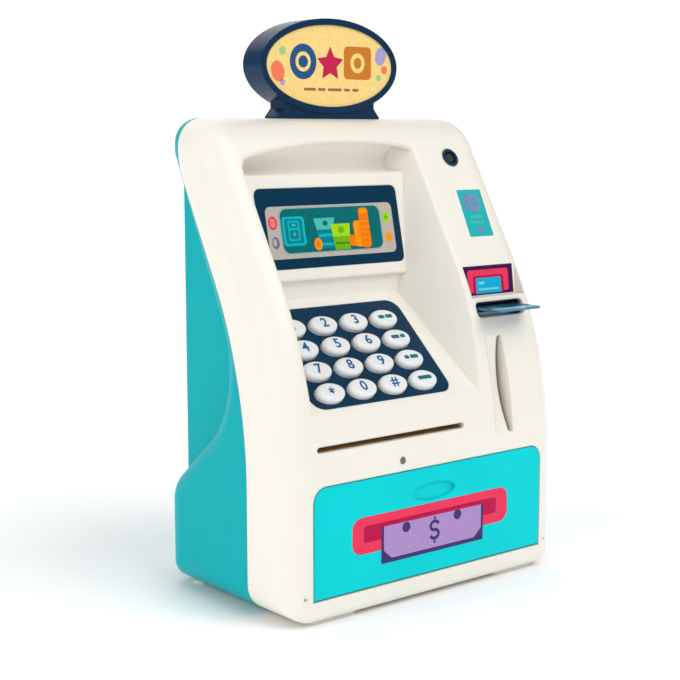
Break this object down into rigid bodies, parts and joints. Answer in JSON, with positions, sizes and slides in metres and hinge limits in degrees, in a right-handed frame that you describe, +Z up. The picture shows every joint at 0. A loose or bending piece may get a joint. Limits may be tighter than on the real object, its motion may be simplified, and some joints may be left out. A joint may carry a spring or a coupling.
{
  "type": "toy atm savings bank",
  "caption": "Toy cash machine money box with a screen bay, sloped oval-key keypad, banknote, coin and card slots, a drop-down money door and an oval sign on top.",
  "frame": {"origin": "centre of the footprint's bounding box, on the surface that the feet stand on", "axes": "+Z up, +X to the right seen from the front, the front faces -Y"},
  "size_m": [0.154, 0.09, 0.2446],
  "materials": {
    "white_shell": "satin moulded ABS",
    "teal_shell": "satin moulded ABS",
    "door": "satin moulded ABS",
    "navy": "satin moulded ABS",
    "sign_face": "printed styrene",
    "screen": "printed clear styrene",
    "keys": "moulded ABS with printed marks",
    "rubber": "silicone rubber",
    "feet": "soft pale rubber",
    "board": "glass-epoxy circuit board",
    "glass": "dark polished lens",
    "card": "laminated PVC",
    "inner_plastic": "black ABS",
    "inner_white": "white ABS",
    "steel": "zinc-plated steel",
    "brass": "brass",
    "cells": "printed foil sleeve",
    "led": "tinted epoxy"
  },
  "bodies": {
    "body": {"front_shell": "white_shell", "rear_shell": "teal_shell", "feet": "feet", "sign_housing": "navy", "sign_back": "navy", "sign_face": "sign_face", "screen_window": "screen", "lcd_panel": "inner_plastic", "keypad_panel": "navy", "key_membrane": "rubber", "keypad_board": "board", "lens_ring": "navy", "lens": "glass", "card_guide": "inner_plastic", "card_switch": "inner_plastic", "status_led": "led", "coin_chute": "inner_white", "note_guide": "inner_plastic", "motor": "steel", "lock_solenoid": "steel", "cash_bin": "inner_white", "main_board": "board", "speaker": "inner_plastic", "battery_box": "inner_plastic", "batteries": "cells", "battery_contacts": "brass", "battery_cover": "teal_shell", "power_switch": "inner_plastic", "case_screws": "steel", "cover_screw": "steel"},
    "door": {"door": "door", "hinge_pins": "steel"},
    "card": {"card": "card"},
    "lock_bolt": {"lock_bolt": "steel"},
    "drive_roller": {"drive_roller": "rubber", "drive_shaft": "steel", "roller_gear": "inner_white"},
    "pinch_roller": {"pinch_roller": "inner_white"},
    "motor_pinion": {"motor_pinion": "inner_white", "motor_shaft": "steel"},
    "switch_knob": {"switch_knob": "inner_plastic"},
    "key_01": {"key_01": "keys"},
    "key_02": {"key_02": "keys"},
    "key_03": {"key_03": "keys"},
    "key_04": {"key_04": "keys"},
    "key_05": {"key_05": "keys"},
    "key_06": {"key_06": "keys"},
    "key_07": {"key_07": "keys"},
    "key_08": {"key_08": "keys"},
    "key_09": {"key_09": "keys"},
    "key_10": {"key_10": "keys"},
    "key_11": {"key_11": "keys"},
    "key_12": {"key_12": "keys"},
    "key_13": {"key_13": "keys"},
    "key_14": {"key_14": "keys"},
    "key_15": {"key_15": "keys"},
    "key_16": {"key_16": "keys"}
  },
  "joints": [
    {"name": "door_hinge", "type": "hinge", "parent": "body", "child": "door", "pos_m": [0, -0.0435, 0.0124], "axis": [1, 0, 0], "range_deg": [0, 84]},
    {"name": "card_slide", "type": "slide", "parent": "body", "child": "card", "axis": [0, -1, 0], "range_m": [0, 0.03]},
    {"name": "lock_bolt_slide", "type": "slide", "parent": "body", "child": "lock_bolt", "axis": [0, 0, -1], "range_m": [0, 0.0035]},
    {"name": "drive_roller_spin", "type": "hinge", "parent": "body", "child": "drive_roller", "pos_m": [0, -0.028, 0.0658], "axis": [1, 0, 0], "continuous": true},
    {"name": "pinch_roller_spin", "type": "hinge", "parent": "body", "child": "pinch_roller", "pos_m": [0, -0.028, 0.0761], "axis": [1, 0, 0], "continuous": true},
    {"name": "motor_spin", "type": "hinge", "parent": "body", "child": "motor_pinion", "pos_m": [0, -0.0158, 0.0658], "axis": [1, 0, 0], "continuous": true},
    {"name": "power_switch_slide", "type": "slide", "parent": "body", "child": "switch_knob", "axis": [1, 0, 0], "range_m": [0, 0.0036]},
    {"name": "key_01_press", "type": "slide", "parent": "body", "child": "key_01", "axis": [0, 0.6743, -0.7385], "range_m": [0, 0.0012], "stiffness_N_per_m": 250},
    {"name": "key_02_press", "type": "slide", "parent": "body", "child": "key_02", "axis": [0, 0.6743, -0.7385], "range_m": [0, 0.0012], "stiffness_N_per_m": 250},
    {"name": "key_03_press", "type": "slide", "parent": "body", "child": "key_03", "axis": [0, 0.6743, -0.7385], "range_m": [0, 0.0012], "stiffness_N_per_m": 250},
    {"name": "key_04_press", "type": "slide", "parent": "body", "child": "key_04", "axis": [0, 0.6743, -0.7385], "range_m": [0, 0.0012], "stiffness_N_per_m": 250},
    {"name": "key_05_press", "type": "slide", "parent": "body", "child": "key_05", "axis": [0, 0.6743, -0.7385], "range_m": [0, 0.0012], "stiffness_N_per_m": 250},
    {"name": "key_06_press", "type": "slide", "parent": "body", "child": "key_06", "axis": [0, 0.6743, -0.7385], "range_m": [0, 0.0012], "stiffness_N_per_m": 250},
    {"name": "key_07_press", "type": "slide", "parent": "body", "child": "key_07", "axis": [0, 0.6743, -0.7385], "range_m": [0, 0.0012], "stiffness_N_per_m": 250},
    {"name": "key_08_press", "type": "slide", "parent": "body", "child": "key_08", "axis": [0, 0.6743, -0.7385], "range_m": [0, 0.0012], "stiffness_N_per_m": 250},
    {"name": "key_09_press", "type": "slide", "parent": "body", "child": "key_09", "axis": [0, 0.6743, -0.7385], "range_m": [0, 0.0012], "stiffness_N_per_m": 250},
    {"name": "key_10_press", "type": "slide", "parent": "body", "child": "key_10", "axis": [0, 0.6743, -0.7385], "range_m": [0, 0.0012], "stiffness_N_per_m": 250},
    {"name": "key_11_press", "type": "slide", "parent": "body", "child": "key_11", "axis": [0, 0.6743, -0.7385], "range_m": [0, 0.0012], "stiffness_N_per_m": 250},
    {"name": "key_12_press", "type": "slide", "parent": "body", "child": "key_12", "axis": [0, 0.6743, -0.7385], "range_m": [0, 0.0012], "stiffness_N_per_m": 250},
    {"name": "key_13_press", "type": "slide", "parent": "body", "child": "key_13", "axis": [0, 0.6743, -0.7385], "range_m": [0, 0.0012], "stiffness_N_per_m": 250},
    {"name": "key_14_press", "type": "slide", "parent": "body", "child": "key_14", "axis": [0, 0.6743, -0.7385], "range_m": [0, 0.0012], "stiffness_N_per_m": 250},
    {"name": "key_15_press", "type": "slide", "parent": "body", "child": "key_15", "axis": [0, 0.6743, -0.7385], "range_m": [0, 0.0012], "stiffness_N_per_m": 250},
    {"name": "key_16_press", "type": "slide", "parent": "body", "child": "key_16", "axis": [0, 0.6743, -0.7385], "range_m": [0, 0.0012], "stiffness_N_per_m": 250}
  ],
  "couplings": [
    {"joint": "motor_spin", "follows": "drive_roller_spin", "ratio": -2},
    {"joint": "pinch_roller_spin", "follows": "drive_roller_spin", "ratio": -1.25}
  ]
}
